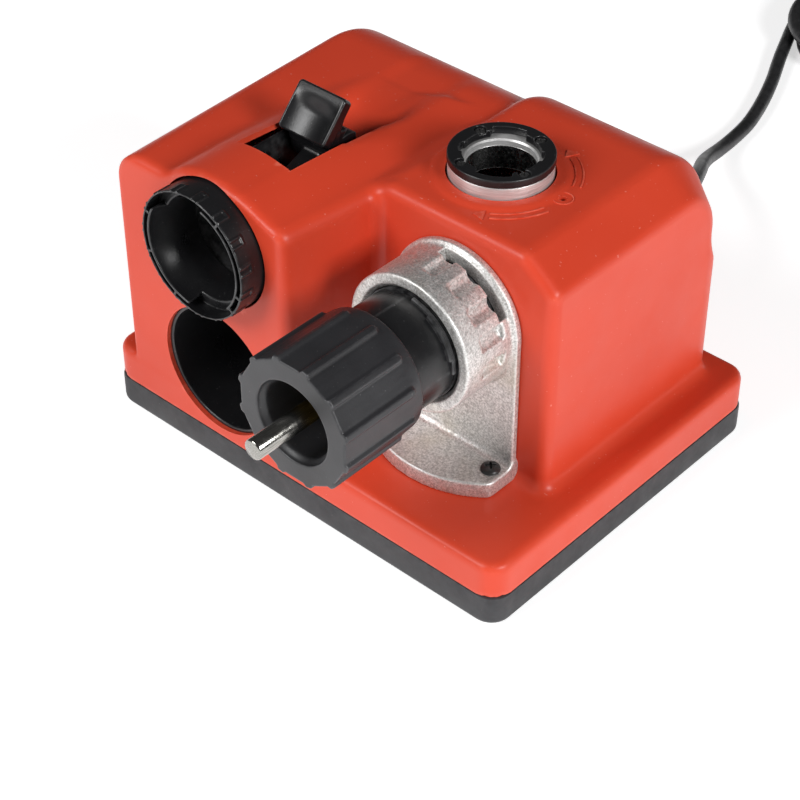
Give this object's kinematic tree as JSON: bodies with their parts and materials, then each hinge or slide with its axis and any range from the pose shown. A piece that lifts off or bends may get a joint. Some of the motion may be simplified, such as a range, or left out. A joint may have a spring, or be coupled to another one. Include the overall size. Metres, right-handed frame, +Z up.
{
  "type": "drill bit sharpener",
  "caption": "Mains bench sharpener for twist drills: moulded housing, cast sharpening port, split-point and alignment ports, chuck and cord.",
  "frame": {"origin": "on the table, under the middle of the object's length and width, cord left out", "axes": "+Z up, +Y to the rear, the chuck points to -Y, +X to the right"},
  "size_m": [0.2, 0.5566, 0.145],
  "materials": {
    "red_plastic": "matt moulded, fine grain",
    "base_plastic": "matt moulded",
    "black_plastic": "satin moulded",
    "knob_rubber": "soft satin",
    "cast_aluminium": "sand-blasted casting",
    "machined_aluminium": "turned",
    "drill_steel": "ground shank, gold coated flutes",
    "steel": "zinc plated",
    "black_screw": "blackened",
    "abrasive": "diamond grit",
    "carbon": "matt",
    "copper_winding": "varnished",
    "brass_pin": "nickel plated",
    "foot_rubber": "matt",
    "cord_rubber": "satin PVC"
  },
  "bodies": {
    "housing": {"housing_shell": "red_plastic", "base_plate": "base_plastic", "alignment_tube": "black_plastic", "storage_cup": "black_plastic", "split_port_ring": "black_plastic", "switch_body": "black_plastic", "motor_end_cap": "black_plastic", "plug_body": "black_plastic", "sharpening_port": "cast_aluminium", "split_port_sleeve": "machined_aluminium", "magnet_ring": "carbon", "brush_upper": "carbon", "brush_lower": "carbon", "plug_pin_1": "brass_pin", "plug_pin_2": "brass_pin", "strain_relief": "cord_rubber", "power_cord": "cord_rubber", "cord_coil": "cord_rubber", "cord_tail": "cord_rubber", "cord_tie": "cord_rubber", "foot_front_left": "foot_rubber", "foot_front_right": "foot_rubber", "foot_rear_left": "foot_rubber", "foot_rear_right": "foot_rubber", "base_screw_1": "steel", "ring_screw_1": "black_screw", "base_screw_2": "steel", "ring_screw_2": "black_screw", "base_screw_3": "steel", "ring_screw_3": "black_screw", "base_screw_4": "steel", "ring_screw_4": "black_screw", "port_screw_left": "black_screw", "port_screw_right": "black_screw", "lever_pin": "steel", "lever_spring": "steel", "claw_guide": "steel", "motor_can": "steel", "motor_bracket": "steel", "bearing_front": "steel", "bearing_rear": "steel"},
    "alignment_ring": {"alignment_ring": "black_plastic"},
    "lever": {"alignment_lever": "black_plastic"},
    "claw_left": {"claw_left": "steel"},
    "claw_right": {"claw_right": "steel"},
    "guide_bush": {"guide_bush": "black_plastic"},
    "chuck": {"chuck_barrel": "black_plastic"},
    "knob": {"chuck_knob": "knob_rubber"},
    "jaw_1": {"chuck_jaw_1": "steel"},
    "jaw_2": {"chuck_jaw_2": "steel"},
    "jaw_3": {"chuck_jaw_3": "steel"},
    "drill_bit": {"drill_bit": "drill_steel"},
    "rotor": {"motor_shaft": "steel", "armature": "copper_winding", "commutator": "copper_winding", "fan": "black_plastic", "grinding_wheel": "abrasive", "wheel_nut": "steel"},
    "rocker": {"switch_rocker": "black_plastic"}
  },
  "joints": [
    {"name": "alignment_ring_turn", "type": "hinge", "parent": "housing", "child": "alignment_ring", "pos_m": [-0.0365, -0.06, 0.105], "axis": [0, -1, 0], "range_deg": [-12, 12]},
    {"name": "lever_press", "type": "hinge", "parent": "housing", "child": "lever", "pos_m": [-0.0345, -0.005, 0.121], "axis": [-1, 0, 0], "range_deg": [0, 20], "stiffness_Nm_per_rad": 0.08, "springref_deg": -11.46, "deforming": ["lever_spring"]},
    {"name": "claw_left_open", "type": "slide", "parent": "housing", "child": "claw_left", "axis": [-1, 0, 0], "range_m": [0, 0.004]},
    {"name": "claw_right_open", "type": "slide", "parent": "housing", "child": "claw_right", "axis": [1, 0, 0], "range_m": [0, 0.004]},
    {"name": "bush_turn", "type": "hinge", "parent": "housing", "child": "guide_bush", "pos_m": [0.043, -0.04, 0.091], "axis": [0, -1, 0], "continuous": true},
    {"name": "chuck_slide", "type": "slide", "parent": "guide_bush", "child": "chuck", "axis": [0, -1, 0], "range_m": [0, 0.05]},
    {"name": "knob_turn", "type": "hinge", "parent": "chuck", "child": "knob", "pos_m": [0.043, -0.04, 0.091], "axis": [0, -1, 0], "range_deg": [0, 180]},
    {"name": "bit_slide", "type": "slide", "parent": "chuck", "child": "drill_bit", "axis": [0, -1, 0], "range_m": [0, 0.05]},
    {"name": "rotor_spin", "type": "hinge", "parent": "housing", "child": "rotor", "pos_m": [0.02, 0.03, 0.091], "axis": [1, 0, 0], "continuous": true},
    {"name": "power_rocker", "type": "hinge", "parent": "housing", "child": "rocker", "pos_m": [-0.0851, 0.034, 0.066], "axis": [0, 0, -1], "range_deg": [0, 16]},
    {"name": "jaw_1_open", "type": "slide", "parent": "chuck", "child": "jaw_1", "axis": [0, 0, 1], "range_m": [0, 0.0015]},
    {"name": "jaw_2_open", "type": "slide", "parent": "chuck", "child": "jaw_2", "axis": [0.866, 0, -0.5], "range_m": [0, 0.0015]},
    {"name": "jaw_3_open", "type": "slide", "parent": "chuck", "child": "jaw_3", "axis": [-0.866, 0, -0.5], "range_m": [0, 0.0015]}
  ],
  "couplings": [
    {"joint": "claw_left_open", "follows": "lever_press", "m_per_rad": 0.0114},
    {"joint": "claw_right_open", "follows": "lever_press", "m_per_rad": 0.0114},
    {"joint": "jaw_1_open", "follows": "knob_turn", "m_per_rad": 0.0004},
    {"joint": "jaw_2_open", "follows": "knob_turn", "m_per_rad": 0.0004},
    {"joint": "jaw_3_open", "follows": "knob_turn", "m_per_rad": 0.0004}
  ]
}
